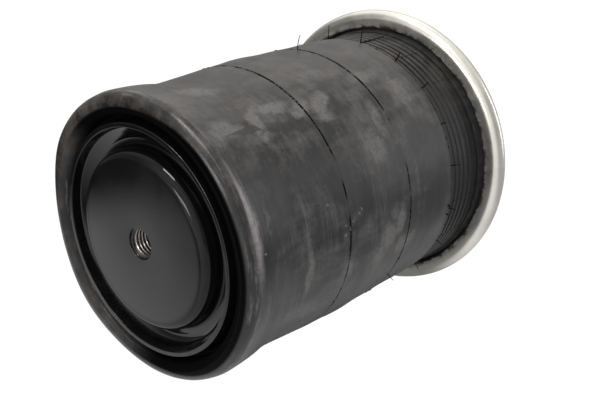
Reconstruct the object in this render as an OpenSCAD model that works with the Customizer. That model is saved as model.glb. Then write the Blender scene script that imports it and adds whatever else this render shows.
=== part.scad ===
// Rolling-lobe air suspension spring, lying on its side.
// The spring's axis is +X. The origin is the mouth of the threaded hole in the
// piston's plateau, and the bead plate closes the far end. All profiles below
// are drawn as [radius, station] pairs, where the station is the distance
// along the axis from the piston's open rim, and placed() moves the finished
// piece so that the plateau's face lies at X = 0.

/* [Bead plate] */
// Station of the bead plate's outer face
overall_h = 261; // [258:0.5:264]
// Outer diameter of the crimped rim
plate_d = 229; // [227:0.5:231]
// Thickness of the pressed plate and of its crimped rim
plate_t = 2.7; // [2.5:0.1:2.8]
// Outside radius of the half-round crimp
crimp_r = 6.7; // [6.6:0.1:6.8]

/* [Bellows] */
// Outer radius of the bellows at mid length
sleeve_r = 97.4; // [96.8:0.1:98]
// Outer radius of the rolled lobe
lobe_r = 95; // [94.4:0.1:95.4]
// Station of the centre of the roll
lobe_s = 6; // [4:0.5:8]
// Wall thickness
wall_t = 5.6; // [5.2:0.1:5.6]
// Thickness of the outer rubber cover
cover_t = 1.6; // [1.4:0.1:1.8]
// Thickness of one ply of cord
ply_t = 0.7; // [0.6:0.1:0.8]
// Radius of the rubber bead at either end of the bellows
bead_r = 3.7; // [3.5:0.1:3.7]
// Radius of the bead wire's section
wire_r = 2.1; // [1.8:0.1:2.2]

/* [Piston] */
// Outer radius of the piston's skirt
piston_r = 76; // [75:0.5:76]
// Wall thickness of the skirt
skirt_t = 3; // [2.5:0.5:3]
// Station where the skirt starts to taper
taper_s = 118; // [116:1:119]
// Station of the crown's top face
crown_s = 148.4; // [148.4:0.1:149]
// Radius of the raised plateau in the piston's base
plateau_r = 59.2; // [58:0.1:60]
// Station of the plateau's face, negative because it stands out past the rim
plateau_s = -1.8; // [-2.5:0.1:-1.8]
// Depth of the valley between plateau and rim
valley_s = 12; // [10:0.5:14]

/* [Fasteners] */
// Tapping radius of the M20 thread in the base
base_bore_r = 8.75; // [8.6:0.05:8.9]
// Depth of the M20 thread
base_bore_l = 31; // [28:1:34]
// Distance between the two plate studs
stud_gap = 160; // [150:1:164]
// Radius of a plate stud
stud_r = 6; // [5:0.5:6]
// How far the studs stand out of the plate
stud_l = 30; // [20:1:40]
// Distance of the air fitting below the axis
fitting_off = 55; // [55:1:60]
// Radius of the clamp bolt
bolt_r = 8; // [7.8:0.1:8]

/* [Bump stop] */
// Largest radius of the bump stop
bump_r = 34; // [30:1:36]
// Gap between the bump stop and the bead plate
bump_gap = 20.5; // [20:0.5:30]

/* [Hidden] */

// Centre of the crimp's section
crimp_c = [plate_d / 2 - crimp_r, overall_h - crimp_r];
inner_face = overall_h - plate_t;
ht = wall_t / 2;

// Middle line of the bellows wall, from the upper bead down the outside,
// round the lobe and up the piston to the lower bead
sm = sleeve_r - ht;
lm = (lobe_r - ht + piston_r + 6.3) / 2;
lr = lobe_r - ht - lm;
taper_dir = [-16, 28] / norm([-16, 28]);
taper_out = [28, 16] / norm([28, 16]);
taper_top = [piston_r - 16, taper_s + 28];
low_bead = taper_top + taper_out * (ht + 0.4) + taper_dir * 6;
path = concat(
    [[crimp_c[0] - 4.2, crimp_c[1]], [crimp_c[0] - 6.3, crimp_c[1]],
     [crimp_c[0] - 9.2, crimp_c[1] - 1.4], [crimp_c[0] - 11.2, crimp_c[1] - 4.6],
     [sm + 1.1, crimp_c[1] - 10], [sm + 0.6, 236], [sm + 0.2, 226], [sm, 216],
     [sm + 0.2, 208], [sm + 0.5, 192], [sm, 168], [sm, 150], [sm - 0.3, 133],
     [sm, 115], [sm - 1.2, 100], [sm - 2, 86], [sm - 3.1, 72], [sm - 4.2, 57],
     [sm - 5, 42], [sm - 4.6, 34], [sm - 3.3, 25], [lobe_r - ht - 0.2, 16]],
    [for (a = [90:-15:-90]) [lm + lr * sin(a), lobe_s - lr * cos(a)]],
    [[piston_r + 5.4, 24], [piston_r + 4, 45], [piston_r + 3.4, 70],
     [piston_r + 3.3, taper_s - 4],
     taper_top - taper_dir * 32.2 + taper_out * (ht + 0.5),
     taper_top + taper_out * (ht + 0.4)]);
last = len(path) - 1;
// Points of the middle line where the cover leaves the crimp and where the
// rolled lobe ends on the piston
neck_i = 4;
roll_i = 35;

function unit(v) = v / norm(v);
// Outside normal of a segment that runs from a to b
function side(a, b) = [a[1] - b[1], b[0] - a[0]] / norm(b - a) * 1;
function mitre(p, i) =
    i == 0 ? side(p[0], p[1]) :
    i == len(p) - 1 ? side(p[i - 1], p[i]) :
    let (n = side(p[i - 1], p[i]), m = side(p[i], p[i + 1]), h = unit(n + m))
    h / (h * n);
function shifted(p, o) = [for (i = [0:len(p) - 1]) p[i] + mitre(p, i) * o];
function back(p) = [for (i = [len(p) - 1:-1:0]) p[i]];
function part_of(p, a, b) = [for (i = [a:b]) p[i]];

// Turns a profile of [radius, station] pairs about the spring's axis
module along_x() { rotate([0, 90, 0]) children(); }
module turned(points) {
    along_x() rotate_extrude($fn = 96) polygon(points);
}
// A round bar or washer between two stations, off the axis by at = [y, z]
module bar(r, s0, s1, at = [0, 0]) {
    translate([s0, at[0], at[1]]) along_x() cylinder(r = r, h = s1 - s0, $fn = 64);
}
module washer(r, hole, s0, s1) {
    difference() {
        bar(r, s0, s1);
        bar(hole, s0 - 1, s1 + 1);
    }
}
module ring(c, r) {
    along_x() rotate_extrude($fn = 96) translate(c) circle(r = r, $fn = 32);
}
// One layer of the bellows wall between two distances from its middle line,
// from point a to point b of that line
module layer(o0, o1, a = 0, b = last) {
    turned(concat(part_of(shifted(path, o0), a, b), back(part_of(shifted(path, o1), a, b))));
}
// Moves a finished piece from the rim's frame to the part's own frame
module placed() { translate([-plateau_s, 0, 0]) children(); }
module hex(af, s0, s1) {
    translate([s0, 0, 0]) along_x() cylinder(r = af / sqrt(3), h = s1 - s0, $fn = 6);
}

// Pressed plate with its rim rolled round the bead, in one piece
module bead_plate() {
    cr = crimp_c[0];
    cs = crimp_c[1];
    ri = crimp_r - plate_t;
    color([0.76, 0.75, 0.72]) difference() {
        turned(concat(
            [[0, inner_face], [0, overall_h], [cr, overall_h]],
            [for (a = [75:-15:-90]) [cr + crimp_r * cos(a), cs + crimp_r * sin(a)]],
            [[cr - 6.8, cs - crimp_r], [cr - 6.8, cs - ri - 0.8],
             [cr - 6, cs - ri], [cr, cs - ri]],
            [for (a = [-75:15:75]) [cr + ri * cos(a), cs + ri * sin(a)]],
            [[cr, inner_face]]));
        for (y = [-0.5, 0.5] * stud_gap)
            bar(stud_r + 1, inner_face - 1, overall_h + 1, [y, 0]);
        bar(12, inner_face - 1, overall_h + 1, [0, -fitting_off]);
    }
}

// Two studs with a head inside the plate and a pressed shoulder through it
module mounting_studs() {
    color([0.72, 0.70, 0.62]) for (y = [-0.5, 0.5] * stud_gap) {
        bar(stud_r * 1.9, inner_face - 3, inner_face, [y, 0]);
        bar(stud_r + 1, inner_face, overall_h, [y, 0]);
        bar(stud_r, overall_h, overall_h + stud_l, [y, 0]);
    }
}

// Combination stud: threaded outside for its nut, with the air port inside
module air_fitting() {
    color([0.72, 0.70, 0.62]) difference() {
        union() {
            bar(16, inner_face - 4, inner_face, [0, -fitting_off]);
            bar(12, inner_face, overall_h, [0, -fitting_off]);
            bar(11, overall_h, overall_h + stud_l - 5, [0, -fitting_off]);
        }
        bar(5.25, overall_h + stud_l - 21, overall_h + stud_l, [0, -fitting_off]);
        bar(3.5, inner_face - 5, overall_h + stud_l, [0, -fitting_off]);
    }
}

module upper_bead_wire() { color([0.6, 0.45, 0.25]) ring(crimp_c, wire_r); }
module lower_bead_wire() { color([0.6, 0.45, 0.25]) ring(low_bead, wire_r); }

// Rubber of the upper bead, gripped by the crimp
module upper_bead_rubber() {
    color([0.13, 0.13, 0.13]) difference() {
        union() {
            layer(ht, ht - cover_t, 0, neck_i);
            ring(crimp_c, bead_r);
            turned([[path[0][0], path[0][1] - ht], [crimp_c[0], crimp_c[1] - ht],
                    [crimp_c[0], crimp_c[1] + ht], [path[0][0], path[0][1] + ht]]);
        }
        ring(crimp_c, wire_r + 0.3);
    }
}
// Outer rubber cover, from the neck down the outside and round the lobe; its seam is turned away from the top
module bellows_cover() {
    color([0.13, 0.13, 0.13]) rotate([-90, 0, 0]) layer(ht, ht - cover_t, neck_i, roll_i);
}
// The cover's inner leg, which lies on the piston and ends in the lower bead
module rolled_cover() {
    e = path[last];
    n = side(path[last - 1], e);
    color([0.13, 0.13, 0.13]) difference() {
        union() {
            layer(ht, ht - cover_t, roll_i, last);
            ring(low_bead, bead_r);
            turned([e + n * ht, low_bead + n * ht, low_bead - n * ht, e - n * ht]);
        }
        ring(low_bead, wire_r + 0.3);
    }
}
module outer_cord_ply() {
    color([0.45, 0.38, 0.25]) layer(ht - cover_t, ht - cover_t - ply_t);
}
module inner_cord_ply() {
    color([0.40, 0.34, 0.22]) layer(ht - cover_t - ply_t, ht - cover_t - 2 * ply_t);
}
module inner_liner() {
    color([0.10, 0.10, 0.10]) layer(ht - cover_t - 2 * ply_t, -ht);
}

// Drawn skirt: a thin tube whose upper end tapers to the bead seat
module piston_skirt() {
    top_r = taper_top[0] - (crown_s - taper_top[1]) * 16 / 28;
    color([0.04, 0.04, 0.045]) turned([
        [piston_r - skirt_t, 1], [piston_r - skirt_t + 0.8, 0], [piston_r - 0.8, 0],
        [piston_r, 1], [piston_r, taper_s], [top_r, crown_s],
        [57, crown_s], [57, taper_top[1] - 1.2],
        [piston_r - skirt_t, taper_s - 2]]);
}

// Pressed base: a flange against the skirt, a valley and a raised plateau,
// whose middle carries the first turns of the thread
module piston_base() {
    r0 = piston_r - skirt_t;
    t = 3;
    e = 4.6;
    color([0.04, 0.04, 0.045]) turned(concat(
        [[base_bore_r, plateau_s], [plateau_r - e, plateau_s]],
        [for (a = [75:-15:0]) [plateau_r - e + e * cos(a), plateau_s + e - e * sin(a)]],
        [[plateau_r + 0.6, valley_s - 3], [plateau_r + 2, valley_s - 0.8],
         [plateau_r + 4, valley_s], [r0 - t - 3, valley_s],
         [r0 - t - 0.8, valley_s - 0.8], [r0 - t, valley_s - 3], [r0 - t, 4],
         [r0, 4], [r0, valley_s + 1], [r0 - 1, valley_s + 2.4], [r0 - 3, valley_s + t],
         [plateau_r + 1.5, valley_s + t], [plateau_r - 1.2, valley_s + 1.6],
         [plateau_r - 2.6, valley_s - 1.5], [plateau_r - 3, plateau_s + 5],
         [plateau_r - 3.5, plateau_s + 3.5], [plateau_r - e - 0.2, plateau_s + t],
         [base_bore_r, plateau_s + t]]));
}

module piston_crown() { color([0.04, 0.04, 0.045]) washer(57, bolt_r + 0.5, crown_s - 4, crown_s); }

// Blind M20 bush welded behind the plateau
module threaded_bush() {
    s0 = plateau_s + 3;
    color([0.62, 0.58, 0.55]) difference() {
        bar(20, s0, plateau_s + base_bore_l + 5);
        bar(base_bore_r, s0 - 1, plateau_s + base_bore_l);
    }
}
module centre_tube() {
    color([0.10, 0.10, 0.10]) washer(20, 15.5, plateau_s + 5 + base_bore_l, crown_s - 4);
}
// Four radial plates between the centre tube and the skirt
module stiffening_ribs() {
    color([0.10, 0.10, 0.10]) for (a = [45:90:315])
        intersection() {
            rotate([a, 0, 0]) translate([40, 0, -1.5]) cube([70, 100, 3]);
            washer(piston_r - skirt_t, 20, 30, 120);
        }
}
module clamp_nut() {
    color([0.6, 0.6, 0.58]) difference() {
        hex(24, crown_s - 17, crown_s - 4);
        bar(bolt_r + 0.05, crown_s - 18, crown_s - 3);
    }
}
// Pan that clamps the lower bead onto the crown
module end_closure() {
    f = low_bead[1] + bead_r + 0.4;
    color([0.55, 0.55, 0.54]) difference() {
        turned([[bolt_r + 0.5, crown_s], [55, crown_s], [55, f], [63.5, f],
                [63.5, f + 3], [52, f + 3], [52, crown_s + 3],
                [bolt_r + 0.5, crown_s + 3]]);
        washer(26.1, 21.9, crown_s - 1, crown_s + 1.6);
    }
}
module sealing_ring() { color([0.08, 0.08, 0.08]) washer(26, 22, crown_s, crown_s + 1.5); }
module bump_stop_plate() { color([0.55, 0.55, 0.54]) washer(bump_r + 2, bolt_r + 0.5, crown_s + 3, crown_s + 6); }
module bolt_washer() { color([0.6, 0.6, 0.58]) washer(15, bolt_r + 0.5, crown_s + 6, crown_s + 9); }
module clamp_bolt() {
    color([0.6, 0.6, 0.58]) union() {
        hex(24, crown_s + 9, crown_s + 19);
        bar(bolt_r, crown_s - 20, crown_s + 9.5);
    }
}
// Rubber bumper with a waist and an open middle for the bolt's head
module bump_stop() {
    b = crown_s + 6;
    t = inner_face - bump_gap;
    h = t - b;
    color([0.16, 0.14, 0.10]) turned([
        [17, b], [bump_r, b], [bump_r, b + 0.18 * h], [bump_r - 5, b + 0.30 * h],
        [bump_r - 5, b + 0.38 * h], [bump_r - 1, b + 0.50 * h],
        [bump_r - 1, b + 0.66 * h], [bump_r - 6, b + 0.90 * h],
        [bump_r - 11, t], [17, t]]);
}

placed() bead_plate();
placed() mounting_studs();
placed() air_fitting();
placed() upper_bead_wire();
placed() upper_bead_rubber();
placed() bellows_cover();
placed() rolled_cover();
placed() outer_cord_ply();
placed() inner_cord_ply();
placed() inner_liner();
placed() piston_skirt();
placed() piston_base();
placed() piston_crown();
placed() threaded_bush();
placed() centre_tube();
placed() stiffening_ribs();
placed() clamp_nut();
placed() end_closure();
placed() lower_bead_wire();
placed() sealing_ring();
placed() bump_stop_plate();
placed() bump_stop();
placed() bolt_washer();
placed() clamp_bolt();
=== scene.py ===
import bpy
import math
import random
import numpy as np
from mathutils import Vector, Matrix


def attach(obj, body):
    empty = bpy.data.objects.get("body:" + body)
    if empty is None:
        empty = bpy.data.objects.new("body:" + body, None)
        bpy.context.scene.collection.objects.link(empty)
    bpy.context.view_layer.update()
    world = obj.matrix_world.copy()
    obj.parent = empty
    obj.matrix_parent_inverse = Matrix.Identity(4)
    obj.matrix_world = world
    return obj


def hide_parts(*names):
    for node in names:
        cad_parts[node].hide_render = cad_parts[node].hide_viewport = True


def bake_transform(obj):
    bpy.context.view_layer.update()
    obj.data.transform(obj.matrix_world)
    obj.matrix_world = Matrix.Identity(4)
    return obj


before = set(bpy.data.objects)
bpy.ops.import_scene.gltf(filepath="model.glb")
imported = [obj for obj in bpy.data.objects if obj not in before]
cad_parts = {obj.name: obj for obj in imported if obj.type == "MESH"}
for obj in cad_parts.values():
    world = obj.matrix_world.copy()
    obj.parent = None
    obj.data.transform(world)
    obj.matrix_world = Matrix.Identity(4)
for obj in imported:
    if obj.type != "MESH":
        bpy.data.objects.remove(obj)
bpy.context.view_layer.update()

rng = random.Random(7)
STATION = 1.8  # stations below are counted from the piston's open rim, this far behind the origin
PLATE, BELLOWS, PISTON = "bead_plate_body", "bellows_body", "piston_body"


# ---------------------------------------------------------------- helpers

def smooth(t):
    t = np.clip(t, 0.0, 1.0)
    return t * t * (3 - 2 * t)


def waves(theta, s, seed, count=9, kmax=9, smax=0.09):
    """A smooth bumpy field, periodic in theta, about -1 to 1."""
    r = np.random.RandomState(seed)
    out = np.zeros(np.broadcast(theta, s).shape)
    total = 0.0
    for _ in range(count):
        k = r.randint(0, kmax + 1)
        f = r.uniform(-smax, smax)
        p = r.uniform(0, 2 * np.pi)
        a = r.uniform(0.4, 1.0) / (1 + 0.15 * k)
        out = out + a * np.sin(k * theta + f * s + p)
        total += a
    return out / total * 1.8


def build_mesh(name, co, faces, mats=(), face_mat=None, sharp=35.0):
    me = bpy.data.meshes.new(name)
    me.from_pydata([tuple(c) for c in co], [], faces)
    for m in mats:
        me.materials.append(m)
    if face_mat is not None:
        me.polygons.foreach_set("material_index", np.asarray(face_mat, dtype=np.int32))
    me.polygons.foreach_set("use_smooth", [True] * len(me.polygons))
    me.update()
    if sharp:
        me.set_sharp_from_angle(angle=math.radians(sharp))
    me.validate()
    rest = me.attributes.new("rest", "FLOAT_VECTOR", "POINT")
    rest.data.foreach_set("vector", np.asarray([v.co for v in me.vertices], dtype=np.float32).ravel())
    ob = bpy.data.objects.new(name, me)
    bpy.context.scene.collection.objects.link(ob)
    return ob


def signed_volume(co, faces):
    v = 0.0
    c = np.asarray(co)
    for f in faces:
        a = c[f[0]]
        for i in range(1, len(f) - 1):
            v += np.dot(a, np.cross(c[f[i]], c[f[i + 1]]))
    return v / 6.0


def grid_solid(name, R, S, theta, axis_rows=(), mats=(), row_mat=None, sharp=35.0, keep=None):
    """Closed solid of revolution about X from a closed loop of rows: R and S are rows x angles, in mm."""
    rows, n = R.shape
    idx = np.zeros((rows, n), dtype=np.int64)
    co = []
    for i in range(rows):
        if i in axis_rows:
            idx[i, :] = len(co)
            co.append(((S[i, 0] + STATION) / 1000, 0.0, 0.0))
        else:
            idx[i, :] = np.arange(len(co), len(co) + n)
            x = (S[i] + STATION) / 1000
            y = R[i] * np.cos(theta) / 1000
            z = R[i] * np.sin(theta) / 1000
            co.extend(zip(x, y, z))
    faces, fm = [], []
    for i in range(rows):
        k = (i + 1) % rows
        if i in axis_rows and k in axis_rows:
            continue
        a, b = idx[i], idx[k]
        for j in range(n):
            l = (j + 1) % n
            if i in axis_rows:
                faces.append((int(a[j]), int(b[l]), int(b[j])))
            elif k in axis_rows:
                faces.append((int(a[j]), int(a[l]), int(b[j])))
            else:
                faces.append((int(a[j]), int(a[l]), int(b[l]), int(b[j])))
            fm.append(row_mat[i] if row_mat is not None else 0)
    step = max(1, len(faces) // 4000)
    # outside is decided on the profile loop itself: positive area turns one way only
    area = 0.0
    for i in range(rows):
        k = (i + 1) % rows
        area += R[i, 0] * S[k, 0] - R[k, 0] * S[i, 0]
    if area < 0:
        faces = [tuple(reversed(f)) for f in faces]
    return build_mesh(name, co, faces, mats, fm, sharp)


def turned(name, prof, n=256, mats=(), row_mat=None, sharp=35.0, dr=None, ds=None):
    """Turned solid from a closed loop of (radius, station), with optional offsets as functions of (row, theta)."""
    P = np.asarray(prof, float)
    theta = np.linspace(0, 2 * np.pi, n, endpoint=False)
    R = np.repeat(P[:, :1], n, axis=1)
    S = np.repeat(P[:, 1:], n, axis=1)
    axis_rows = tuple(i for i in range(len(P)) if P[i, 0] < 1e-6)
    if dr is not None:
        R = R + dr(P[:, :1], P[:, 1:], theta[None, :])
    if ds is not None:
        S = S + ds(P[:, :1], P[:, 1:], theta[None, :])
    return grid_solid(name, R, S, theta, axis_rows, mats, row_mat, sharp)


def rounded(points, radii, step=12.0):
    """Closed loop whose corners are rounded with the given radii."""
    pts = [np.asarray(p, float) for p in points]
    n = len(pts)
    out = []
    for i in range(n):
        p0, p1, p2 = pts[i - 1], pts[i], pts[(i + 1) % n]
        r = radii[i] if not np.isscalar(radii) else radii
        u, v = p0 - p1, p2 - p1
        lu, lv = np.linalg.norm(u), np.linalg.norm(v)
        if r <= 0 or lu < 1e-6 or lv < 1e-6:
            out.append(p1)
            continue
        u, v = u / lu, v / lv
        ang = math.acos(max(-1, min(1, float(u @ v))))
        if ang > math.pi - 0.02:
            out.append(p1)
            continue
        d = min(r / math.tan(ang / 2), 0.49 * lu, 0.49 * lv)
        rr = d * math.tan(ang / 2)
        c = p1 + (u + v) / np.linalg.norm(u + v) * (rr / math.sin(ang / 2))
        a, b = p1 + u * d - c, p1 + v * d - c
        turn = math.acos(max(-1, min(1, float(a @ b) / (rr * rr))))
        k = max(2, int(math.degrees(turn) / step) + 1)
        sgn = np.sign(a[0] * b[1] - a[1] * b[0]) or 1.0
        for j in range(k + 1):
            t = turn * j / k * sgn
            out.append(c + np.array([a[0] * math.cos(t) - a[1] * math.sin(t),
                                     a[0] * math.sin(t) + a[1] * math.cos(t)]))
    return out


# ---------------------------------------------------------------- materials

class Nodes:
    def __init__(self, name):
        self.m = bpy.data.materials.new(name)
        self.m.use_nodes = True
        self.t = self.m.node_tree
        self.t.nodes.clear()
        self.out = self.t.nodes.new("ShaderNodeOutputMaterial")
        self.b = self.t.nodes.new("ShaderNodeBsdfPrincipled")
        self.t.links.new(self.b.outputs[0], self.out.inputs[0])

    def put(self, node, socket, value):
        s = node.inputs[socket]
        if isinstance(value, bpy.types.NodeSocket):
            self.t.links.new(value, s)
        else:
            s.default_value = value

    def set(self, **kw):
        names = {"base": "Base Color", "rough": "Roughness", "metal": "Metallic", "ior": "IOR",
                 "coat": "Coat Weight", "coat_rough": "Coat Roughness", "spec": "Specular IOR Level",
                 "sheen": "Sheen Weight", "sheen_rough": "Sheen Roughness", "normal": "Normal"}
        for k, v in kw.items():
            if k in ("base",) and not isinstance(v, bpy.types.NodeSocket):
                v = (*v, 1.0)
            self.put(self.b, names[k], v)

    def coords(self, rest=False):
        if rest:
            n = self.t.nodes.new("ShaderNodeAttribute")
            n.attribute_name = "rest"
            return n.outputs["Vector"]
        n = self.t.nodes.new("ShaderNodeTexCoord")
        return n.outputs["Object"]

    def scale(self, vec, x, y, z, loc=(0, 0, 0)):
        n = self.t.nodes.new("ShaderNodeMapping")
        self.put(n, "Vector", vec)
        n.inputs["Scale"].default_value = (x, y, z)
        n.inputs["Location"].default_value = loc
        return n.outputs[0]

    def noise(self, vec, scale, detail=4.0, rough=0.55, distort=0.0):
        n = self.t.nodes.new("ShaderNodeTexNoise")
        self.put(n, "Vector", vec)
        n.inputs["Scale"].default_value = scale
        n.inputs["Detail"].default_value = detail
        n.inputs["Roughness"].default_value = rough
        n.inputs["Distortion"].default_value = distort
        return n.outputs["Fac"]

    def voronoi(self, vec, scale, feature="F1", rand=1.0):
        n = self.t.nodes.new("ShaderNodeTexVoronoi")
        n.feature = feature
        self.put(n, "Vector", vec)
        n.inputs["Scale"].default_value = scale
        n.inputs["Randomness"].default_value = rand
        return n.outputs["Distance"]

    def math(self, op, a, b=0.0, c=0.0, clamp=False):
        n = self.t.nodes.new("ShaderNodeMath")
        n.operation = op
        n.use_clamp = clamp
        self.put(n, 0, a)
        self.put(n, 1, b)
        if op in ("MULTIPLY_ADD", "SMOOTH_MIN", "SMOOTH_MAX", "WRAP"):
            self.put(n, 2, c)
        return n.outputs[0]

    def span(self, v, a, b, lo=0.0, hi=1.0, soft=True):
        n = self.t.nodes.new("ShaderNodeMapRange")
        n.interpolation_type = "SMOOTHSTEP" if soft else "LINEAR"
        self.put(n, "Value", v)
        n.inputs["From Min"].default_value = a
        n.inputs["From Max"].default_value = b
        n.inputs["To Min"].default_value = lo
        n.inputs["To Max"].default_value = hi
        return n.outputs[0]

    def mix(self, fac, a, b):
        n = self.t.nodes.new("ShaderNodeMix")
        n.data_type = "RGBA"
        self.put(n, 0, fac)
        for i, v in ((6, a), (7, b)):
            if not isinstance(v, bpy.types.NodeSocket):
                v = (*v, 1.0)
            self.put(n, i, v)
        return n.outputs[2]

    def blend(self, fac, a, b):
        n = self.t.nodes.new("ShaderNodeMix")
        n.data_type = "FLOAT"
        self.put(n, 0, fac)
        self.put(n, 2, a)
        self.put(n, 3, b)
        return n.outputs[0]

    def xyz(self, vec):
        n = self.t.nodes.new("ShaderNodeSeparateXYZ")
        self.put(n, 0, vec)
        return n.outputs

    def radius(self, vec):
        x = self.xyz(vec)
        a = self.math("MULTIPLY", x[1], x[1])
        b = self.math("MULTIPLY_ADD", x[2], x[2], a)
        return self.math("SQRT", b)

    def bump(self, height, strength, distance):
        n = self.t.nodes.new("ShaderNodeBump")
        n.inputs["Strength"].default_value = strength
        n.inputs["Distance"].default_value = distance
        self.put(n, "Height", height)
        return n.outputs[0]

    def near(self, vec, points, radius):
        """1 close to any of the points, 0 beyond the radius."""
        total = None
        for p in points:
            d = self.t.nodes.new("ShaderNodeVectorMath")
            d.operation = "DISTANCE"
            self.put(d, 0, vec)
            d.inputs[1].default_value = p
            f = self.span(d.outputs["Value"], radius, radius * 0.3)
            total = f if total is None else self.math("MAXIMUM", total, f)
        return total


def at(s, r, deg):
    """Point in metres at a station and radius in mm and an angle in degrees."""
    a = math.radians(deg)
    return Vector(((s + STATION) / 1000, r * math.cos(a) / 1000, r * math.sin(a) / 1000))


LINE_1, LINE_2, SHOULDER = 87.6, 152.9, 206.4
VALLEYS = (206.4, 211.9, 217.8, 223.9, 230.5, 237.0, 243.6)  # narrow grooves between the ribs of the neck


def local_frame(s, deg, turn, inward=96.0):
    """Point on the sleeve and the Euler angles of a frame there: along the axis, round the sleeve, inward."""
    t = math.radians(deg)
    c, q = math.cos(math.radians(turn)), math.sin(math.radians(turn))
    ex, et = Vector((1, 0, 0)), Vector((0, -math.sin(t), math.cos(t)))
    en = Vector((0, -math.cos(t), -math.sin(t)))
    e1, e2 = ex * c + et * q, ex * -q + et * c
    rot = Matrix((e1, e2, en)).transposed()
    return at(s, inward, deg), rot.to_euler("XYZ")


# patches on the sleeve: station, angle, half length along the axis, half width round it, turn, strength
DUSTY = [(38, 101, 24, 9, 12, 0.70), (52, 119, 9, 5, -20, 0.65), (49, 124, 6, 17, 20, 1.0), (69, 121, 15, 7, 4, 1.0), (28, 125, 13, 5, -6, 0.9),
         (21, 124, 11, 9, -10, 0.95), (86, 125, 9, 7, 0, 0.8), (48, 131, 14, 5, 0, 0.5),
         (104, 126, 17, 7, -30, 1.0), (99, 132, 12, 6, 20, 0.7), (11, 127, 10, 10, 0, 1.0), (81, 126, 7, 6, 0, 0.9), (142, 182, 8, 15, 0, 1.0), (141, 140, 7, 17, 12, 0.7),
         (124, 149, 11, 14, 0, 0.55), (129, 151, 11, 12, 0, 0.8), (134, 178, 7, 9, 0, 0.7),
         (130, 187, 12, 15, 10, 1.0), (121, 195, 11, 13, 0, 0.8), (150, 194, 18, 8, 0, 0.8), (60, 206, 40, 12, 0, 0.6),
         (51, 188, 3.2, 19, 4, 0.8), (20, 160, 2.6, 17, 0, 0.55), (15, 192, 2.4, 16, 0, 0.6),
         (78, 200, 16, 12, 0, 0.65), (124, 112, 28, 7, 10, 0.5), (160, 120, 26, 9, 0, 0.5),
         (182, 131, 14, 16, 0, 0.45), (88, 192, 9, 13, 0, 0.6), (46, 60, 30, 12, 10, 0.6),
         (110, 40, 24, 12, -15, 0.5), (70, 330, 30, 14, 0, 0.5), (150, 300, 30, 12, 20, 0.5), (100, 255, 26, 14, -10, 0.5),
         (40, 275, 18, 14, 0, 0.5), (165, 20, 26, 12, 0, 0.45)]
WIPED = [(89, 155, 18, 15, 20, 0.8), (60, 150, 24, 22, 0, 0.55), (108, 166, 17, 18, 0, 0.9), (149, 157, 9, 14, 0, 0.85), (5.7, 91, 14, 18, 0, 0.6), (36, 112, 13, 4, 0, 0.75),
         (87, 117, 10, 4, -20, 0.6), (112, 140, 12, 12, 10, 0.45), (64, 173, 16, 16, 0, 0.6), (76, 200, 14, 10, 0, 0.45),
         (176, 158, 22, 34, 0, 0.9), (186, 180, 18, 30, 0, 0.9), (16, 149, 7, 26, 0, 0.45), (32, 178, 12, 22, 0, 0.4),
         (120, 300, 16, 6, 30, 0.6), (60, 40, 14, 5, -20, 0.6), (82, 108, 20, 3, 8, 0.5)]
# two marks where something pressed on the dusty cover: corners as (station, angle)
PRESSED = [((20.5, 126.9), (45.5, 124.6), (49.5, 128.3), (31.0, 127.8)),
           ((53.5, 126.2), (62.0, 127.3), (70.2, 131.7), (64.3, 131.9), (53.0, 130.6))]


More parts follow.
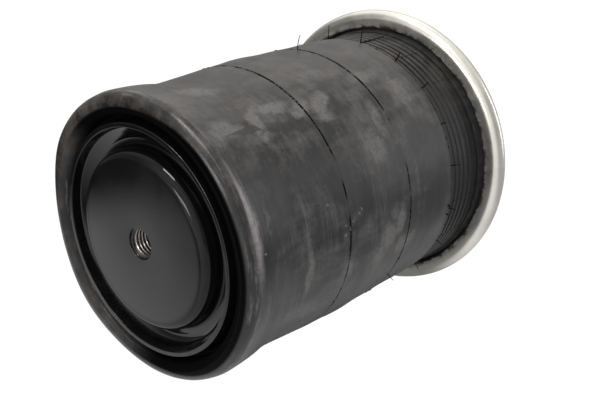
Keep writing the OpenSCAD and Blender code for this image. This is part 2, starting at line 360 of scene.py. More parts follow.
def cover_material():
    n = Nodes("cover_rubber")
    p = n.coords(rest=True)
    x, y, z = n.xyz(p)
    # the patches' edges are ragged
    jag = n.t.nodes.new("ShaderNodeTexNoise")
    n.put(jag, "Vector", p)
    jag.inputs["Scale"].default_value = 60.0
    jag.inputs["Detail"].default_value = 8.0
    jag.inputs["Roughness"].default_value = 0.80
    off = n.t.nodes.new("ShaderNodeVectorMath")
    off.operation = "SUBTRACT"
    n.put(off, 0, jag.outputs["Color"])
    off.inputs[1].default_value = (0.5, 0.5, 0.5)
    wob = n.t.nodes.new("ShaderNodeVectorMath")
    wob.operation = "MULTIPLY_ADD"
    n.put(wob, 0, off.outputs[0])
    wob.inputs[1].default_value = (0.020, 0.020, 0.020)
    n.put(wob, 2, p)

    def patches(items, src):
        total = None
        for st, deg, la, lb, turn, amount in items:
            loc, rot = local_frame(st, deg, turn)
            m = n.t.nodes.new("ShaderNodeMapping")
            m.vector_type = "TEXTURE"
            n.put(m, "Vector", src)
            m.inputs["Location"].default_value = loc
            m.inputs["Rotation"].default_value = rot
            m.inputs["Scale"].default_value = (la / 1000, lb / 1000, 0.05)
            v = n.t.nodes.new("ShaderNodeVectorMath")
            v.operation = "LENGTH"
            n.put(v, 0, m.outputs[0])
            f = n.span(v.outputs["Value"], 1.10, 0.22, 0.0, amount)
            total = f if total is None else n.math("MAXIMUM", total, f)
        return total

    def pressed(corners, src, soft):
        cs = sum(c[0] for c in corners) / len(corners)
        cd = sum(c[1] for c in corners) / len(corners)
        loc, rot = local_frame(cs, cd, 0)
        m = n.t.nodes.new("ShaderNodeMapping")
        m.vector_type = "TEXTURE"
        n.put(m, "Vector", src)
        m.inputs["Location"].default_value = loc
        m.inputs["Rotation"].default_value = rot
        m.inputs["Scale"].default_value = (0.001, 0.001, 0.001)
        q = [(s - cs, math.radians(d - cd) * 96.0) for s, d in corners]
        area = sum(a[0] * b[1] - b[0] * a[1] for a, b in zip(q, q[1:] + q[:1]))
        if area < 0:
            q = q[::-1]
        total = None
        for a, b in zip(q, q[1:] + q[:1]):
            e = Vector((b[0] - a[0], b[1] - a[1], 0)).normalized()
            dot = n.t.nodes.new("ShaderNodeVectorMath")
            dot.operation = "DOT_PRODUCT"
            n.put(dot, 0, m.outputs[0])
            dot.inputs[1].default_value = (-e.y, e.x, 0)
            v = n.math("SUBTRACT", dot.outputs["Value"], -e.y * a[0] + e.x * a[1])
            total = v if total is None else n.math("MINIMUM", total, v)
        return n.span(total, -soft, soft)

    cloud = n.noise(n.scale(p, 26, 17, 17, (0.3, 1.7, 0.4)), 1.0, 6.0, 0.62, 0.6)
    streak = n.noise(n.scale(p, 16, 120, 120, (4.4, 3.1, 0.9)), 1.0, 4.0, 0.6, 0.4)
    hoop = n.noise(n.scale(p, 190, 26, 26, (2.1, 0.2, 5.3)), 1.0, 5.0, 0.65, 0.3)
    fine = n.noise(p, 1100.0, 3.0, 0.7)
    grain = n.noise(p, 330.0, 5.0, 0.75)
    mott = n.noise(p, 70.0, 6.0, 0.7)
    dusty = patches(DUSTY, wob.outputs[0])
    half = n.t.nodes.new("ShaderNodeVectorMath")
    half.operation = "MULTIPLY_ADD"
    n.put(half, 0, off.outputs[0])
    half.inputs[1].default_value = (0.009, 0.009, 0.009)
    n.put(half, 2, p)
    slight = n.t.nodes.new("ShaderNodeVectorMath")
    slight.operation = "MULTIPLY_ADD"
    n.put(slight, 0, off.outputs[0])
    slight.inputs[1].default_value = (0.0035, 0.0035, 0.0035)
    n.put(slight, 2, p)
    wiped = patches(WIPED, half.outputs[0])
    marks = n.math("MAXIMUM", pressed(PRESSED[0], slight.outputs[0], 0.55), pressed(PRESSED[1], slight.outputs[0], 0.7))
    top = n.span(z, 0.015, 0.100)
    low = n.span(z, 0.0, -0.075)
    d = n.math("MULTIPLY_ADD", dusty, 1.08, 0.05)
    d = n.math("MULTIPLY_ADD", n.math("SUBTRACT", cloud, 0.5), 1.7, d)
    d = n.math("MULTIPLY_ADD", n.math("SUBTRACT", mott, 0.5), 1.1, d)
    d = n.math("MULTIPLY_ADD", n.math("SUBTRACT", streak, 0.5), 0.8, d)
    d = n.math("MULTIPLY_ADD", n.math("SUBTRACT", hoop, 0.5), 1.0, d)
    d = n.math("MULTIPLY_ADD", top, 0.14, d)
    d = n.math("MULTIPLY_ADD", low, 0.10, d)
    dust = n.span(d, 0.0, 1.0, 0.0, 1.0, False)
    dust = n.math("MULTIPLY", dust, n.span(wiped, 0.05, 0.85, 1.0, 0.18))
    dust = n.math("MULTIPLY", dust, n.span(marks, 0.0, 1.0, 1.0, 0.16))
    dust = n.math("MULTIPLY", dust, n.span(grain, 0.30, 0.64, 0.50, 1.25))
    neck = n.span(x, (SHOULDER + STATION - 2) / 1000, (SHOULDER + STATION + 1) / 1000, 1.0, 0.12)
    lobe = n.span(x, 0.003, 0.026, 0.22, 1.0)
    dust = n.math("MULTIPLY", dust, n.math("MULTIPLY", neck, lobe))
    base = n.mix(dust, (0.0105, 0.0104, 0.0112), (0.124, 0.120, 0.118))
    # pale speckles where dust lies
    speck = n.span(n.noise(n.scale(p, 430, 520, 520, (7, 3, 1)), 1.0, 5.0, 0.8, 0.8), 0.60, 0.70)
    speck = n.math("MULTIPLY", speck, n.span(dust, 0.10, 0.6, 0.05, 0.60))
    flock = n.span(n.noise(n.scale(p, 55, 55, 55, (3, 3, 9)), 1.0, 3.0, 0.6), 0.46, 0.62, 0.15, 1.0)
    speck = n.math("MULTIPLY", speck, flock)
    low_right = n.math("MULTIPLY", n.span(z, 0.045, -0.01), n.span(x, 0.040, 0.080))
    speck = n.math("MULTIPLY", speck, n.math("MULTIPLY_ADD", low_right, 0.5, 0.5))
    speck = n.math("MULTIPLY", speck, neck)
    base = n.mix(speck, base, (0.30, 0.29, 0.28))
    # fine scratches round the sleeve
    scratch = n.noise(n.scale(p, 900, 24, 24, (0, 4, 2)), 1.0, 3.0, 0.6, 0.2)
    scratch = n.math("MULTIPLY", n.span(scratch, 0.60, 0.70), n.span(cloud, 0.42, 0.60, 0.0, 0.30))
    base = n.mix(n.math("MULTIPLY", scratch, n.math("MULTIPLY", neck, lobe)), base, (0.16, 0.155, 0.15))
    # brown bloom on top and round the roll's outer side
    brown = n.math("MULTIPLY", n.span(z, 0.030, 0.095), n.span(mott, 0.40, 0.66))
    base = n.mix(n.math("MULTIPLY", brown, 0.35), base, (0.105, 0.088, 0.076))
    out = n.span(x, 0.020, 0.004)
    bloom = n.math("MULTIPLY", out, n.span(n.math("MULTIPLY_ADD", mott, 0.7, n.math("MULTIPLY", cloud, 0.4)), 0.36, 0.78))
    bloom = n.math("MULTIPLY", bloom, n.span(n.radius(p), 0.0800, 0.0845))
    bloom = n.math("MULTIPLY", bloom, n.span(y, -0.030, 0.040, 0.04, 0.48))
    base = n.mix(bloom, base, (0.098, 0.083, 0.070))
    # painted highlight: pale hoop-wise streaks painted on the roll's right side stand in for the sheen along the roll
    # there
    pale = n.noise(n.scale(p, 210, 9, 9, (6, 2, 8)), 1.0, 3.0, 0.6, 0.15)
    pale = n.math("MULTIPLY", n.span(pale, 0.30, 0.56), patches([(7.2, 158, 5.4, 46, 0, 1.0)], half.outputs[0]))
    pale = n.math("MULTIPLY", pale, n.span(grain, 0.30, 0.60, 0.6, 1.0))
    base = n.mix(n.math("MULTIPLY", pale, 0.68), base, (0.36, 0.330, 0.335))
    # scuffs along the crown of the roll
    r = n.radius(p)
    crown = n.math("MULTIPLY", n.span(x, 0.0008, 0.0035), n.span(x, 0.0125, 0.0070))
    scuff = n.noise(n.scale(p, 420, 30, 30), 1.0, 5.0, 0.75, 0.3)
    scuff = n.math("MULTIPLY", n.span(scuff, 0.52, 0.66), crown)
    base = n.mix(n.math("MULTIPLY", scuff, 0.45), base, (0.20, 0.185, 0.175))
    # dark broken parting lines
    dark = None
    wide = n.span(z, 0.070, 0.086, 1.12, 0.70)
    for k, st in enumerate((LINE_1, LINE_2, SHOULDER)):
        e = n.math("ABSOLUTE", n.math("SUBTRACT", x, (st + STATION) / 1000))
        e = n.math("MULTIPLY", e, wide)
        m = n.span(e, 0.00092, 0.00060)
        brk = n.noise(n.scale(p, 5, 42, 42, (k * 3.3, 0, 0)), 1.0, 5.0, 0.7)
        m = n.math("MULTIPLY", m, n.span(brk, 0.38, 0.48, 0.35, 1.0))
        tick = n.noise(n.scale(p, 60, 520, 520, (k * 2.1, 0, 0)), 1.0, 2.0, 0.5)
        m = n.math("MULTIPLY", m, n.span(tick, 0.34, 0.46, 0.45, 1.0))
        gap = patches(((LINE_1, 151.8, 9, 13, 0, 1.0), (LINE_1, 167.3, 9, 9, 0, 1.0)) if k == 0 else
                      ((LINE_2, 139.5, 9, 5, 0, 0.8), (LINE_2, 151.5, 9, 23, 0, 1.0)) if k == 1 else
                      ((SHOULDER, 160, 6, 26, 0, 0.7),), p)
        m = n.math("MULTIPLY", m, n.span(gap, 0.1, 0.9, 1.0, 0.10))
        base = n.mix(m, base, (0.002, 0.002, 0.002))
        dark = m if dark is None else n.math("MAXIMUM", dark, m)
    # shadowed valleys between the ribs of the neck
    vall = None
    for k, st in enumerate(VALLEYS[1:]):
        e = n.math("ABSOLUTE", n.math("SUBTRACT", x, (st + STATION) / 1000))
        v = n.span(e, 0.00125, 0.00050, 0.0, (0.95, 0.85, 0.80, 0.80, 0.70, 0.60)[k])
        vall = v if vall is None else n.math("MAXIMUM", vall, v)
    shade = n.math("MAXIMUM", n.span(z, 0.066, 0.086, 0.12, 1.0), n.span(z, -0.004, -0.030, 0.12, 1.0))
    vall = n.math("MULTIPLY", vall, shade)
    base = n.mix(vall, base, (0.0015, 0.0015, 0.0015))
    # dust caught at the lip of the crimp
    lip = n.math("ABSOLUTE", n.math("SUBTRACT", x, (245.7 + STATION) / 1000))
    lip = n.math("MULTIPLY", n.span(lip, 0.0010, 0.0005),
                 n.span(n.noise(n.scale(p, 300, 110, 110), 1.0, 4.0, 0.7), 0.42, 0.56))
    base = n.mix(n.math("MULTIPLY", lip, 0.85), base, (0.50, 0.48, 0.45))
    # a few pale chips
    chips = patches([(70.5, 163.2, 2.1, 0.9, 0, 1), (97.2, 171.2, 2.4, 0.8, 60, 1), (99.5, 169.8, 1.6, 0.7, 60, 1),
                     (84.0, 173.5, 1.6, 0.9, 0, 0.8), (87.5, 175.5, 2.0, 0.9, 70, 0.8), (83.0, 177.0, 1.4, 1.6, 0, 0.7),
                     (90.5, 173.0, 1.2, 0.6, 0, 0.8), (131, 143, 1.4, 0.9, 0, 0.6), (134, 147, 1.1, 1.5, 0, 0.5),
                     (12, 170, 1.5, 0.9, 0, 0.7)], p)
    chips = n.math("MULTIPLY", chips, n.span(fine, 0.42, 0.60))
    base = n.mix(chips, base, (0.30, 0.295, 0.285))
    rough = n.blend(dust, 0.42, 0.78)
    rough = n.math("MULTIPLY_ADD", n.math("SUBTRACT", mott, 0.5), 0.30, rough)
    rough = n.math("MULTIPLY", rough, n.span(x, 0.009, 0.024, 0.60, 1.0))
    rough = n.math("MAXIMUM", rough, n.span(r, 0.0872, 0.0850, 0.0, 0.80))
    spec = n.span(n.math("MAXIMUM", vall, dark), 0.0, 1.0, 0.38, 0.02)
    spec = n.math("MULTIPLY", spec, n.span(x, (SHOULDER + STATION - 1) / 1000, (SHOULDER + STATION + 1) / 1000, 1.0, 0.50))
    # painted shade: the roll's inner side by the gap is bare black rubber, and it is also painted near black with its
    # reflection cut, towards -Y and on top, where shade falls into the gap
    inner = n.math("MULTIPLY", n.span(n.math("MULTIPLY_ADD", n.span(y, 0.0, -0.065), -0.0040, r), 0.0876, 0.0850), n.math("MAXIMUM", n.span(y, 0.040, -0.010), n.span(z, 0.040, 0.070)))
    inner = n.math("MULTIPLY", inner, n.span(x, 0.012, 0.009))
    base = n.mix(inner, base, (0.0012, 0.0012, 0.0012))
    spec = n.math("MULTIPLY", spec, n.span(inner, 0.0, 1.0, 1.0, 0.06))
    n.set(base=base, rough=rough, spec=spec)
    h = n.math("MULTIPLY_ADD", grain, 0.6, n.math("MULTIPLY", fine, 0.25))
    h = n.math("MULTIPLY_ADD", mott, 0.8, h)
    roll = n.noise(n.scale(p, 420, 8, 8, (3, 1, 4)), 1.0, 3.0, 0.6, 0.3)
    h = n.math("MULTIPLY_ADD", n.math("MULTIPLY", roll, n.span(x, 0.028, 0.010)), 3.6, h)
    n.set(normal=n.bump(h, 0.42, 0.00020))
    return n.m


def simple_rubber(name, base, rough=0.6, spec=0.4):
    n = Nodes(name)
    p = n.coords()
    g = n.noise(p, 160.0, 4.0, 0.6)
    n.set(base=n.mix(n.span(g, 0.35, 0.7), base, tuple(min(1, c * 1.8 + 0.006 * spec / 0.4) for c in base)), spec=spec)
    n.set(rough=n.span(g, 0.3, 0.7, rough - 0.07, rough + 0.1))
    n.set(normal=n.bump(n.noise(p, 700.0, 3.0, 0.6), 0.3, 0.00015))
    return n.m


def cord_material(name, sign):
    n = Nodes(name)
    p = n.coords(rest=True)
    x, y, z = n.xyz(p)
    ang = n.math("ARCTAN2", z, y)
    ph = n.math("MULTIPLY_ADD", ang, 190.0, n.math("MULTIPLY", x, sign * 2400.0))
    w = n.math("SINE", ph)
    n.set(base=n.mix(n.span(w, -0.4, 0.8), (0.05, 0.04, 0.03), (0.30, 0.22, 0.12)), rough=0.75, spec=0.3)
    n.set(normal=n.bump(w, 0.5, 0.0002))
    return n.m


def gloss_material():
    n = Nodes("gloss_black")
    p = n.coords()
    cloud = n.noise(n.scale(p, 38, 38, 38, (1, 2, 3)), 1.0, 5.0, 0.6, 0.5)
    fine = n.noise(p, 650.0, 4.0, 0.7)
    haze = n.noise(n.scale(p, 20, 20, 20, (5, 0, 3)), 1.0, 3.0, 0.55, 0.8)
    r = n.radius(p)
    edge = n.math("MULTIPLY", n.span(r, 0.060, 0.0735), 0.35)
    dust = n.math("MULTIPLY_ADD", n.span(cloud, 0.46, 0.70), 0.6, edge)
    dust = n.math("MULTIPLY", dust, n.span(fine, 0.36, 0.66))
    base = n.mix(n.math("MULTIPLY", dust, 0.05), (0.0032, 0.0032, 0.0038), (0.16, 0.15, 0.14))
    x, y, z = n.xyz(p)
    film = n.math("MULTIPLY", n.span(x, 0.0030, -0.0005), n.span(y, 0.035, -0.045, 0.25, 1.0))
    film = n.math("MULTIPLY", film, n.span(haze, 0.35, 0.65, 0.45, 1.0))
    film = n.math("MULTIPLY", film, n.span(z, -0.050, 0.020, 0.4, 1.0))
    base = n.mix(film, base, (0.016, 0.015, 0.015))
    rough = n.math("MULTIPLY_ADD", dust, 0.10, n.span(haze, 0.35, 0.70, 0.05, 0.13))
    turn = n.math("MULTIPLY", n.span(r, 0.0495, 0.0550), n.span(r, 0.0640, 0.0605))
    n.set(base=base, rough=rough, ior=1.5, spec=n.span(turn, 0.0, 1.0, 0.5, 0.22))
    peel = n.noise(p, 120.0, 2.0, 0.5)
    n.set(normal=n.bump(n.math("MULTIPLY_ADD", haze, 2.0, peel), 0.14, 0.00020))
    return n.m


def zinc_material():
    n = Nodes("zinc_plate")
    p = n.coords()
    r = n.radius(p)
    x, y, z = n.xyz(p)
    cloud = n.noise(n.scale(p, 40, 40, 40), 1.0, 5.0, 0.6, 0.5)
    fine = n.noise(p, 800.0, 4.0, 0.7)
    turn = n.noise(n.scale(p, 900, 6, 6), 1.0, 2.0, 0.5)
    base = n.mix(n.span(cloud, 0.3, 0.7), (0.63, 0.615, 0.565), (0.73, 0.71, 0.655))
    # the rolled rim is scuffed and grey towards its inner edge
    side = n.span(r, 0.1068, 0.1028)
    band = n.math("MULTIPLY", side, n.span(x, 0.2575, 0.2525))
    scuff = n.noise(n.scale(p, 260, 70, 70), 1.0, 6.0, 0.75, 0.6)
    lip = n.math("MULTIPLY", n.span(r, 0.1054, 0.1014), n.span(x, 0.2560, 0.2520))
    worn = n.span(n.math("MULTIPLY_ADD", n.math("SUBTRACT", scuff, 0.5), 3.0, lip), 0.62, 0.95)
    grey = n.math("MULTIPLY", band, n.span(scuff, 0.40, 0.62, 0.20, 0.90))
    base = n.mix(grey, base, (0.13, 0.125, 0.115))
    base = n.mix(worn, base, (0.030, 0.028, 0.024))
    n.set(base=base, metal=n.blend(worn, 1.0, 0.35))
    rough = n.span(n.math("MULTIPLY_ADD", fine, 0.5, cloud), 0.5, 1.0, 0.26, 0.35)
    rough = n.math("MULTIPLY_ADD", band, 0.12, rough)
    n.set(rough=rough)
    n.set(normal=n.bump(n.math("MULTIPLY_ADD", scuff, 0.5, n.math("MULTIPLY_ADD", turn, 0.2, fine)), 0.07, 0.00012))
    return n.m


def steel_material(name, base, rough=0.34, dirt=0.25, bump=0.15):
    n = Nodes(name)
    p = n.coords()
    cloud = n.noise(n.scale(p, 140, 140, 140), 1.0, 5.0, 0.65)
    fine = n.noise(p, 1500.0, 3.0, 0.6)
    dark = tuple(c * (1 - dirt) * 0.55 for c in base)
    n.set(base=n.mix(n.span(cloud, 0.56, 0.36), base, dark), metal=1.0)
    n.set(rough=n.span(cloud, 0.3, 0.7, rough + 0.1, rough - 0.05))
    n.set(normal=n.bump(fine, bump, 0.0001))
    return n.m


def thread_material():
    n = Nodes("thread_steel")
    p = n.coords()
    r = n.radius(p)
    fine = n.noise(p, 900.0, 3.0, 0.6)
    # painted shade: the thread's roots are painted darker than its crests, partly dirt and partly the shade that falls
    # between the turns
    crest = n.span(r, 0.00945, 0.00895)
    base = n.mix(crest, (0.085, 0.077, 0.074), (0.36, 0.33, 0.315))
    n.set(base=n.mix(n.span(fine, 0.35, 0.6, 0.5, 0.0), base, (0.21, 0.185, 0.17)), metal=1.0)
    n.set(rough=n.span(crest, 0.0, 1.0, 0.5, 0.24))
    n.set(normal=n.bump(fine, 0.15, 0.0001))
    return n.m


M_COVER = cover_material()
M_FLASH = simple_rubber("flash_rubber", (0.002, 0.002, 0.002), 0.75, 0.06)
M_FIN = simple_rubber("flash_line_rubber", (0.016, 0.016, 0.016), 0.6)
M_BEAD = simple_rubber("bead_rubber", (0.014, 0.014, 0.014), 0.6)
M_LINER = simple_rubber("liner_rubber", (0.012, 0.012, 0.013), 0.5)
M_SEAL = simple_rubber("seal_rubber", (0.010, 0.010, 0.010), 0.45)
M_BUMP = simple_rubber("bump_rubber", (0.035, 0.030, 0.024), 0.65)
M_CORD_A = cord_material("cord_ply_outer", 1)
M_CORD_B = cord_material("cord_ply_inner", -1)
M_GLOSS = gloss_material()
M_ZINC = zinc_material()
M_STUD = steel_material("stud_steel", (0.63, 0.60, 0.52), 0.30)
M_BARE = steel_material("bare_steel", (0.50, 0.44, 0.41), 0.30, 0.35, 0.25)
M_THREAD = thread_material()
M_CLOSE = steel_material("closure_steel", (0.50, 0.50, 0.49), 0.36)
M_WIRE = steel_material("bead_wire", (0.60, 0.44, 0.22), 0.35)


# ---------------------------------------------------------------- bellows wall

HT, SM = 2.8, 94.6
CR, CS = 107.8, 254.3
LM, LR, LS = 87.25, 4.95, 6.0
T_DIR, T_OUT, T_TOP = np.array([-16, 28]) / 32.249, np.array([28, 16]) / 32.249, np.array([60.0, 146.0])


def middle_line():
    head = [(CR - 4.2, CS), (CR - 6.3, CS), (CR - 9.2, CS - 1.4), (CR - 11.2, CS - 4.6), (SM + 1.1, CS - 10)]
    side = [(SM + .6, 236), (SM + .2, 226), (SM, 216), (SM + .2, 208), (SM + .5, 192), (SM, 168), (SM, 150),
            (SM - .3, 133), (SM, 115), (SM - 1.2, 100), (SM - 2, 86), (SM - 3.1, 72), (SM - 4.2, 57),
            (SM - 5, 42), (SM - 4.6, 34), (SM - 3.3, 25), (92.0, 16)]
    arc = [(LM + LR * math.sin(math.radians(a)), LS - LR * math.cos(math.radians(a))) for a in range(90, -91, -10)]
    leg = [(81.4, 24), (80.0, 45), (79.4, 70), (79.3, 114),
           tuple(T_TOP - T_DIR * 32.2 + T_OUT * 3.3), tuple(T_TOP + T_OUT * 3.2)]
    pts = [np.array(p, float) for p in head + side + arc + [leg[0]]]
    out, tag = [], []
    # centripetal Catmull-Rom through the points
    ext = [2 * pts[0] - pts[1]] + pts + [np.array(leg[1])]
    for i in range(1, len(ext) - 2):
        p0, p1, p2, p3 = ext[i - 1:i + 3]
        t0 = 0.0
        t1 = t0 + np.linalg.norm(p1 - p0) ** 0.5
        t2 = t1 + np.linalg.norm(p2 - p1) ** 0.5
        t3 = t2 + np.linalg.norm(p3 - p2) ** 0.5
        k = max(4, int(np.linalg.norm(p2 - p1) / 0.08))
        for t in np.linspace(t1, t2, k, endpoint=False):
            a1 = (t1 - t) / (t1 - t0) * p0 + (t - t0) / (t1 - t0) * p1
            a2 = (t2 - t) / (t2 - t1) * p1 + (t - t1) / (t2 - t1) * p2
            a3 = (t3 - t) / (t3 - t2) * p2 + (t - t2) / (t3 - t2) * p3
            b1 = (t2 - t) / (t2 - t0) * a1 + (t - t0) / (t2 - t0) * a2
            b2 = (t3 - t) / (t3 - t1) * a2 + (t - t1) / (t3 - t1) * a3
            out.append((t2 - t) / (t2 - t1) * b1 + (t - t1) / (t2 - t1) * b2)
            tag.append(i - 1)
    split = len(out)
    line = [np.array(p, float) for p in leg]
    for a, b in zip(line[:-1], line[1:]):
        k = max(2, int(np.linalg.norm(b - a) / 0.08))
        for j in range(k):
            out.append(a + (b - a) * j / k)
            tag.append(100)
    out.append(line[-1])
    tag.append(100)
    out = np.array(out)
    # round the one corner of the leg a little
    for _ in range(30):
        out[split + 5:-1] = 0.25 * out[split + 4:-2] + 0.5 * out[split + 5:-1] + 0.25 * out[split + 6:]
    seg = np.linalg.norm(np.diff(out, axis=0), axis=1)
    u = np.concatenate([[0], np.cumsum(seg)])
    n_head, n_side = len(head), len(side)
    i_neck = int(np.argmin(np.hypot(out[:, 0] - head[-1][0], out[:, 1] - head[-1][1])))
    i_arc0 = int(np.argmin(np.hypot(out[:, 0] - (LM + LR), out[:, 1] - LS)))
    i_arc1 = int(np.argmin(np.hypot(out[:, 0] - (LM - LR), out[:, 1] - LS)))
    return out, u, dict(neck=u[i_neck], arc0=u[i_arc0], arc1=u[i_arc1], roll=u[split], end=u[-1])


MID, MU, MARK = middle_line()
D = np.gradient(MID, axis=0)
D /= np.linalg.norm(D, axis=1)[:, None]
NORMAL = np.stack([-D[:, 1], D[:, 0]], 1)


def on_line(u):
    m = np.stack([np.interp(u, MU, MID[:, i]) for i in (0, 1)], 1)
    nn = np.stack([np.interp(u, MU, NORMAL[:, i]) for i in (0, 1)], 1)
    nn /= np.linalg.norm(nn, axis=1)[:, None]
    return m, nn


# how far the roll stands out of round, in mm, by angle round the axis
OUT_A = [0, 8, 16, 24, 32, 40, 50, 64, 76, 95, 120, 150, 180, 205, 227, 236, 246, 253, 269, 284, 295, 306, 315,
         323, 330, 338, 346, 353, 360]
OUT_V = [-1.6, -.8, .8, 3.1, 4.1, 3.3, 2.3, .6, .7, .3, 0, 0, 0, -.3, -.3, -1.6, -1.6, -1.7, -1.3, -1.3, -.5, 1.6,
         2.9, 2.4, .9, -.7, -1.5, -2, -1.6]


def out_of_round(theta):
    v = np.interp(np.degrees(theta) % 360, OUT_A, OUT_V)
    k = np.exp(-0.5 * (np.arange(-6, 7) / 2.6) ** 2)
    k /= k.sum()
    return np.convolve(np.concatenate([v[-6:], v, v[:6]]), k, mode="valid") / 1.55


def wall_shift(u, theta, line=None):
    """Radial shift of the whole wall and shift along the axis, as rows x angles."""
    st = np.interp(u, MU, MID[:, 1])
    w = np.zeros_like(u)
    outer = u <= MARK["arc0"]
    w[outer] = smooth((78.0 - st[outer]) / 62.0)
    arc = (u > MARK["arc0"]) & (u <= MARK["arc1"])
    w[arc] = 1.0 - 0.62 * smooth((u[arc] - MARK["arc0"]) / (MARK["arc1"] - MARK["arc0"]))
    leg = u > MARK["arc1"]
    w[leg] = 0.38 * smooth(1 - (u[leg] - MARK["arc1"]) / (MARK["roll"] - MARK["arc1"]))
    dr = w[:, None] * out_of_round(theta)[None, :]
    body = np.where(outer, smooth((st - 20) / 40.0) * smooth((246 - st) / 30.0), 0.0)
    dr = dr + body[:, None] * 0.42 * waves(theta[None, :], st[:, None], 3, 10, 7, 0.05)
    ds = (w[:, None] * 0.55) * waves(theta[None, :], 0 * st[:, None], 5, 6, 4, 0.0)
    return dr, ds


def line_strength(theta, k):
    """How strongly a parting line stands out by angle, 0 to 1, with torn bits."""
    base = 0.55 + 0.45 * waves(theta, 0.0, 21 + k, 8, 11, 0.0)
    bits = 0.5 + 0.5 * waves(theta, 0.0, 41 + k, 14, 90, 0.0) * 1.6
    return np.clip(base, 0.15, 1.0) * np.clip(bits, 0.15, 1.25)


def cover_detail(s, theta):
    """Radial detail of the cover's outer face between the neck and the roll."""
    s = s[:, None]
    t = theta[None, :]
    d = np.zeros((s.shape[0], t.shape[1]))
    # ribs round the neck, with narrow grooves between them
    a = np.degrees(t) % 360
    side = np.clip(np.minimum((a - 126) / 12, (192 - a) / 12), 0, 1)
    for k, st in enumerate(VALLEYS[1:]):
        g = (1.0, 0.9, 0.85, 0.85, 0.75, 0.7)[k] * (1 - 0.55 * side)
        d = d - g * np.exp(-(np.abs(s - st) / 0.95) ** 2.4)
    d = d - 0.40 * smooth((s - 205.9) / 0.7) * smooth((248 - s) / 2)
    d = d + 0.12 * np.exp(-((s - 205.4) / 0.5) ** 2)
    # parting lines: narrow torn grooves
    for k, st in enumerate((LINE_1, LINE_2)):
        a = line_strength(t, k)
        ang = np.degrees(t) % 360
        lo, hi = ((147, 170), (139, 164))[k]
        a = a * (1 - 0.75 * smooth((ang - lo) / 3) * smooth((hi - ang) / 3))
        d = d - 0.42 * a * np.exp(-((s - st) / 0.48) ** 2)
        d = d + 0.08 * np.exp(-((s - st) / 4.0) ** 2)
    d = d + 0.05 * waves(t, s, 9, 16, 40, 0.9)
    return d


def stations(zones, lo, hi):
    """Arc lengths between lo and hi with a step set by zones of (station, half width, step) on the outside."""
    us, u = [lo], lo
    while u < hi - 1e-6:
        st = float(np.interp(u, MU, MID[:, 1]))
        step = zones[0]
        for a, b, h in zones[1:]:
            if a <= st <= b:
                step = min(step, h)
        u = min(hi, u + step)
        us.append(u)
    return np.array(us)


def wall_piece(name, o_out, o_in, u_out, u_in, n, mats, detail=None, sharp=60.0):
    """Closed solid between two offsets of the middle line."""
    theta = np.linspace(0, 2 * np.pi, n, endpoint=False)
    rows_r, rows_s = [], []
    for off, us, flip in ((o_out, u_out, False), (o_in, u_in, True)):
        us = us[::-1] if flip else us
        m, nn = on_line(us)
        dr, ds = wall_shift(us, theta)
        p = m + nn * off
        r = p[:, :1] + dr
        s = p[:, 1:] + ds
        if detail is not None and not flip:
            add = detail(us, p, theta)
            r = r + nn[:, :1] * add
            s = s + nn[:, 1:] * add
        rows_r.append(r)
        rows_s.append(s)
    return grid_solid(name, np.vstack(rows_r), np.vstack(rows_s), theta, (), mats, None, sharp)


def sleeve_detail(us, p, theta):
    add = np.zeros((len(us), len(theta)))
    outer = us <= MARK["arc0"]
    add[outer] = cover_detail(p[outer, 1], theta)
    fade = smooth((MARK["arc0"] - us) / 12.0)
    fade[~outer] = 0
    return add * fade[:, None]


fine_zones = (2.0, (204.5, 247.0, 0.36), (LINE_1 - 2, LINE_1 + 2, 0.24), (LINE_2 - 2, LINE_2 + 2, 0.24),
              (-5, 30, 0.9))
N_COVER = 384
u_neck, u_roll = MARK["neck"], MARK["roll"]

cover = wall_piece("bellows_sleeve", HT, HT - 1.6, stations(fine_zones, u_neck, u_roll),
                   stations((4.0, (-5, 12, 1.2)), u_neck, u_roll), N_COVER, [M_COVER], sleeve_detail)
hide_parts("bellows_cover")
leg_cover = wall_piece("bellows_inner_leg", HT, HT - 1.6, stations((3.0,), u_roll, MARK["end"]),
                       stations((3.0,), u_roll, MARK["end"]), 192, [M_COVER])


def bead_ring(name, centre, r, hole, n, mats):
    """Torus of rubber round a wire: outer and inner surfaces as one closed solid."""
    a = np.radians(np.arange(0, 360, 15))
    outer = [(centre[0] + r * math.cos(t), centre[1] + r * math.sin(t)) for t in a]
    return turned(name, outer, n, mats, sharp=60)


bead_blends = []
for nm, off_a, off_b, m, slot_nodes in (
        ("outer_cord_ply", HT - 1.6, HT - 2.3, M_CORD_A, "outer_cord_ply"),
        ("inner_cord_ply", HT - 2.3, HT - 3.0, M_CORD_B, "inner_cord_ply"),
        ("inner_liner", HT - 3.0, -HT, M_LINER, "inner_liner")):
    coarse = (5.0, (-5, 12, 1.2))
    a = wall_piece(nm + "_sleeve", off_a - 0.01, off_b + 0.01, stations(coarse, 0.0, u_roll),
                   stations(coarse, 0.0, u_roll), 128, [m])
    b = wall_piece(nm + "_leg", off_a - 0.01, off_b + 0.01, stations((4.0,), u_roll, MARK["end"]),
                   stations((4.0,), u_roll, MARK["end"]), 128, [m])
    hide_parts(slot_nodes)
    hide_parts(slot_nodes)
    bead_blends.append((a, b))
bead_blends.append((cover, leg_cover))
for a, b in bead_blends:
    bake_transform(a)
    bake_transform(b)
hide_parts("rolled_cover")

# rubber of the lower bead, at the end of the leg, and of the upper bead inside the crimp
LOW = T_TOP + T_OUT * 3.2 + T_DIR * 6.0
a15 = np.radians(np.arange(0, 360, 12))
low_ring = turned("lower_bead_rubber", [(LOW[0] + 3.7 * math.cos(t), LOW[1] + 3.7 * math.sin(t)) for t in a15],
                  192, [M_BEAD], sharp=60)
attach(low_ring, PISTON)
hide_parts("rolled_cover")


